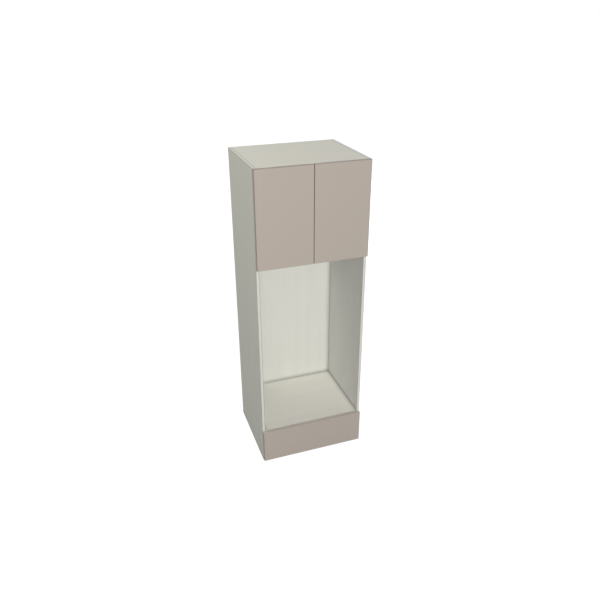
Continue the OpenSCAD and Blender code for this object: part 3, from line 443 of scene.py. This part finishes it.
def screw_mesh(head_r, head_t, shank_r, length):
    """One screw along Z, its head's top at zero: a spun profile with a cross cut into it."""
    # A domed head, then the thread as a row of ridges, then the point
    outline = [(0, 0), (0.6 * head_r, -0.03 * head_t), (0.88 * head_r, -0.22 * head_t),
               (head_r, -0.6 * head_t), (head_r, -head_t), (shank_r, -head_t)]
    pitch = shank_r * 0.8
    turns = int((length - head_t) / pitch) - 2
    for i in range(turns):
        z = -head_t - pitch * (i + 0.5)
        outline += [(0.72 * shank_r, z), (shank_r, z - pitch / 2)]
    outline += [(0.5 * shank_r, -length + pitch), (0, -length)]
    shape = bmesh.new()
    points = [shape.verts.new((r, 0, z)) for r, z in outline]
    lines = [shape.edges.new(pair) for pair in zip(points, points[1:])]
    bmesh.ops.spin(shape, geom=points + lines, axis=(0, 0, 1), cent=(0, 0, 0),
                   angle=2 * math.pi, steps=20, use_merge=True)
    bmesh.ops.remove_doubles(shape, verts=shape.verts, dist=1e-6)
    bmesh.ops.recalc_face_normals(shape, faces=shape.faces)
    mesh = bpy.data.meshes.new("screw")
    shape.to_mesh(mesh)
    shape.free()
    # The cross is two bars that grow narrower downwards
    cross = bmesh.new()
    for angle in (0, 90):
        arm = bmesh.ops.create_cube(cross, size=1, matrix=turn(angle, "Z") @ Matrix.Diagonal(
            (head_r * 1.15, head_r * 0.24, head_t * 1.4, 1)))["verts"]
        low = [v for v in arm if v.co.z < 0]
        bmesh.ops.scale(cross, verts=low, vec=(0.5, 0.5, 1))
    tool = bpy.data.meshes.new("cross")
    cross.to_mesh(tool)
    cross.free()
    blank = bpy.data.objects.new("screw blank", mesh)
    punch = bpy.data.objects.new("cross punch", tool)
    for thing in (blank, punch):
        bpy.context.scene.collection.objects.link(thing)
    cut = blank.modifiers.new("recess", "BOOLEAN")
    cut.object, cut.solver, cut.use_self = punch, "EXACT", True
    bpy.context.view_layer.update()
    done = bpy.data.meshes.new_from_object(
        blank.evaluated_get(bpy.context.evaluated_depsgraph_get()))
    for thing in (blank, punch):
        bpy.data.objects.remove(thing)
    return done


def piece(name, shape, material, body):
    """Makes a finished shape an object that moves with one of the unit's bodies."""
    mesh = bpy.data.meshes.new(name)
    shape.to_mesh(mesh)
    shape.free()
    mesh.materials.append(material)
    thing = bpy.data.objects.new(name, mesh)
    bpy.context.scene.collection.objects.link(thing)
    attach(thing, body)
    return thing


def screws(node, body, places, head_t, shank_r):
    """Screws for the solids of a node; places pairs each solid with the way its head faces."""
    shape = bmesh.new()
    kinds = {}
    for (low, high), facing in places:
        facing = Vector(facing)
        axis = max(range(3), key=lambda i: abs(facing[i]))
        size = high - low
        length, head_r = size[axis], max(size[(axis + 1) % 3], size[(axis + 2) % 3]) / 2
        kind = (round(length, 5), round(head_r, 5))
        if kind not in kinds:
            kinds[kind] = screw_mesh(head_r, head_t, shank_r, length)
        top = (low + high) / 2
        top[axis] = high[axis] if facing[axis] > 0 else low[axis]
        one = kinds[kind].copy()
        one.transform(Matrix.Translation(top) @ facing.to_track_quat("Z", "Y").to_matrix().to_4x4())
        shape.from_mesh(one)
    thing = piece(node + "_cross_recess", shape, zinc_plate, body)
    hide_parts(node)


def inward(low, high):
    """From a solid towards the middle of the unit, along X."""
    return (-1 if low.x + high.x > 0 else 1, 0, 0)


def outward(low, high):
    """From the middle of the unit towards a solid, along X."""
    return (1 if low.x + high.x > 0 else -1, 0, 0)


screws("hinge_screws", "carcass", [(s, inward(*s)) for s in solids("hinge_screws")],
       head_t=0.0014, shank_r=0.00195)
for side in ("left", "right"):
    screws(side + "_cup_screws", side + "_door_body",
           [(s, (0, 1, 0)) for s in solids(side + "_cup_screws")],
           head_t=0.0009, shank_r=0.0019)
screws("cabinet_member_screws", "carcass",
       [(s, inward(*s)) for s in solids("cabinet_member_screws")],
       head_t=0.0012, shank_r=0.0017)
screws("drawer_member_screws", "drawer",
       [(s, outward(*s)) for s in solids("drawer_member_screws")],
       head_t=0.0012, shank_r=0.0017)
screws("latch_screws", "carcass", [(s, (0, 0, -1)) for s in solids("latch_screws")],
       head_t=0.0012, shank_r=0.0016)
# The drawer's screws that run front to back hold the low front, from inside. The others hold
# the box together, from its outer sides.
screws("drawer_screws", "drawer",
       [(s, (0, 1, 0) if s[1].y - s[0].y > 0.012 else outward(*s))
        for s in solids("drawer_screws")],
       head_t=0.0018, shank_r=0.0019)


# ------------------------------------------------------------------ doors and low front
# Three plain slabs of 18 mm fibreboard, sprayed on all sides with a satin taupe lacquer. The
# rounded edges are sanded, and the spray leaves a very fine orange peel.
def lacquered(node, top_rim_shade, top_face_light=0):
    """Sprayed fibreboard with painted shade on the outer arrises and, by the second argument, along
    the top.

    The third argument is how far painted light makes the flat top face paler.
    """
    low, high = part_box(node)
    lacquer, tree, place = new_material(
        "satin lacquered fibreboard, " + node.replace("_", " "))
    # The film is a shade thicker here and there, over 0.3 m
    film = add(tree, "ShaderNodeTexNoise", {"Vector": place, "Scale": 1 / 0.3, "Detail": 1})
    tint = add(tree, "ShaderNodeMix",
               {0: film.outputs[0], 6: paint("#b1a79d"), 7: paint("#b2a89e")}, data_type="RGBA")
    # Painted shade: the film is darker over 4 mm at the outer side and over 3 mm below the top,
    # standing in for shade on the edge faces and in the gaps
    x, y, z = add(tree, "ShaderNodeSeparateXYZ", {0: place}).outputs
    across = add(tree, "ShaderNodeMath", {0: x}, operation="ABSOLUTE")
    side = add(tree, "ShaderNodeMath", {0: max(-low.x, high.x), 1: across.outputs[0]},
               operation="SUBTRACT")
    side_rim_shade = add(tree, "ShaderNodeMapRange",
                   {"Value": side.outputs[0], "From Min": 0.001, "From Max": 0.004,
                    "To Min": 0.9, "To Max": 0}, interpolation_type="SMOOTHSTEP")
    below = add(tree, "ShaderNodeMath", {0: high.z, 1: z}, operation="SUBTRACT")
    upper_rim_shade = add(tree, "ShaderNodeMapRange",
                    {"Value": below.outputs[0], "From Min": 0.001, "From Max": 0.003,
                     "To Min": top_rim_shade, "To Max": 0}, interpolation_type="SMOOTHSTEP")
    rim = add(tree, "ShaderNodeMath", {0: side_rim_shade.outputs[0], 1: upper_rim_shade.outputs[0]},
              operation="MAXIMUM")
    colour = add(tree, "ShaderNodeMix",
                 {0: rim.outputs[0], 6: tint.outputs[2], 7: paint("#7f766d")}, data_type="RGBA")
    # Painted light: the flat top face is mixed towards a paler colour, standing in for light that
    # falls on it
    painted_top_light = add(tree, "ShaderNodeMapRange",
                {"Value": below.outputs[0], "From Min": 0.0002, "From Max": 0.0006,
                 "To Min": top_face_light, "To Max": 0})
    colour = add(tree, "ShaderNodeMix",
                 {0: painted_top_light.outputs[0], 6: colour.outputs[2], 7: paint("#d2c8bd")},
                 data_type="RGBA")
    # Orange peel of a sprayed film, 2 mm from crest to crest
    peel = add(tree, "ShaderNodeTexNoise", {"Vector": place, "Scale": 1 / 0.002, "Detail": 1})
    relief = add(tree, "ShaderNodeBump",
                 {"Height": peel.outputs[0], "Strength": 0.12, "Distance": 0.00004})
    gloss = add(tree, "ShaderNodeMapRange",
                {"Value": film.outputs[0], "To Min": 0.4, "To Max": 0.5})
    face = add(tree, "ShaderNodeBsdfPrincipled",
               {"Base Color": colour.outputs[2], "Roughness": gloss.outputs[0], "IOR": 1.5,
                "Specular IOR Level": 0.35, "Normal": relief.outputs[0]})
    add(tree, "ShaderNodeOutputMaterial", {"Surface": face.outputs[0]})
    return lacquer


# The arguments set the painted shade along the top of each front, and the painted light on the low
# front's top face
dress("left_door", lacquered("left_door", top_rim_shade=0.65))
dress("right_door", lacquered("right_door", top_rim_shade=0.65))
dress("low_front", lacquered("low_front", top_rim_shade=0.6, top_face_light=0.7))

# ------------------------------------------------------------------ buffers
# Milky soft domes, stuck to the front edges, that the fronts close against. Each is half a
# ball, drawn flat to the height of its CAD solid.
dome, tree, place = new_material("soft polyurethane dome")
haze = add(tree, "ShaderNodeTexNoise", {"Vector": place, "Scale": 1 / 0.003})
tint = add(tree, "ShaderNodeMix",
           {0: haze.outputs[0], 6: paint("#dcdcd8"), 7: paint("#cfcfca")}, data_type="RGBA")
face = add(tree, "ShaderNodeBsdfPrincipled",
           {"Base Color": tint.outputs[2], "Roughness": 0.3, "IOR": 1.5,
            "Subsurface Weight": 0.3, "Subsurface Radius": (0.001, 0.001, 0.001)})
add(tree, "ShaderNodeOutputMaterial", {"Surface": face.outputs[0]})
shape = bmesh.new()
for low, high in solids("front_buffers"):
    radius, height = (high.x - low.x) / 2, high.y - low.y
    middle = Vector(((low.x + high.x) / 2, high.y, (low.z + high.z) / 2))
    ball = bmesh.ops.create_uvsphere(shape, u_segments=24, v_segments=12, radius=1)["verts"]
    half = bmesh.ops.bisect_plane(
        shape, geom=ball + list({e for v in ball for e in v.link_edges})
        + list({f for v in ball for f in v.link_faces}),
        plane_co=(0, 0, 0), plane_no=(0, 1, 0), clear_outer=True)
    rim = [g for g in half["geom_cut"] if isinstance(g, bmesh.types.BMEdge)]
    bmesh.ops.contextual_create(shape, geom=rim)
    kept = [v for v in ball if v.is_valid] + [
        g for g in half["geom_cut"] if isinstance(g, bmesh.types.BMVert)]
    bmesh.ops.transform(shape, verts=list(set(kept)),
                        matrix=Matrix.Translation(middle) @ Matrix.Diagonal(
                            (radius, height, radius, 1)))
bmesh.ops.recalc_face_normals(shape, faces=shape.faces)
domes = piece("soft_domes", shape, dome, "carcass")
# The flat side that is stuck on stays sharp
for polygon in domes.data.polygons:
    polygon.use_smooth = abs(polygon.normal.y) < 0.999
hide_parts("front_buffers")


# ------------------------------------------------------------------ push latches
# Moulded housings screwed under the top and under the oven shelf, with a spring plunger
# behind each front. Housings and plungers are fine-grained acetal.
def moulded(name, colour, roughness):
    """A moulded plastic with the fine grain of a spark-eroded tool, 0.3 mm."""
    made, tree, place = new_material(name)
    spark = add(tree, "ShaderNodeTexNoise", {"Vector": place, "Scale": 1 / 0.0003})
    flow = add(tree, "ShaderNodeTexNoise", {"Vector": place, "Scale": 1 / 0.02})
    tint = add(tree, "ShaderNodeMix",
               {0: flow.outputs[0], 6: paint(colour), 7: darker(paint(colour), 0.94)},
               data_type="RGBA")
    grain = add(tree, "ShaderNodeBump",
                {"Height": spark.outputs[0], "Strength": 0.3, "Distance": 0.00004})
    face = add(tree, "ShaderNodeBsdfPrincipled",
               {"Base Color": tint.outputs[2], "Roughness": roughness, "IOR": 1.48,
                "Normal": grain.outputs[0]})
    add(tree, "ShaderNodeOutputMaterial", {"Surface": face.outputs[0]})
    return made


dress("latch_housings", moulded("light grey acetal", "#cfcfca", 0.45))
dark_acetal = moulded("dark grey acetal", "#77787a", 0.4)
for node in ("left_latch_plunger", "right_latch_plunger", "drawer_latch_plunger"):
    dress(node, dark_acetal)

# ------------------------------------------------------------------ drawer box
# Four 12 mm boards and a 6 mm bottom in white melamine, screwed at the corners. The low front
# is screwed on from inside.
# Their painted shade in corners and recesses is weaker than on the carcass boards
for node, grain in (("drawer_left_side", "Y"), ("drawer_right_side", "Y"),
                    ("drawer_inner_front", "X"), ("drawer_back", "X"), ("drawer_bottom", "X")):
    dress(node, faced_board(node, grain, "#e0dfd8", corner_shade=0.85, recess_shade=0.96))

# ------------------------------------------------------------------ drawer runners
# Full-extension ball-bearing runners: three rolled channels of zinc-plated steel on each
# side, with hardened balls in two pressed cages.
rolled = metal("rolled zinc-plated steel", "#b4b6b7", 0.3)
for node in ("left_cabinet_member", "right_cabinet_member", "runner_middle_members",
             "left_drawer_member", "right_drawer_member"):
    dress(node, rolled)
cage = metal("pressed steel cage", "#9da0a2", 0.36)
hardened = metal("hardened steel ball", "#cfd1d2", 0.1)
for rows in ("outer", "inner"):
    dress(rows + "_ball_cages", cage)
    dress(rows + "_balls", hardened)
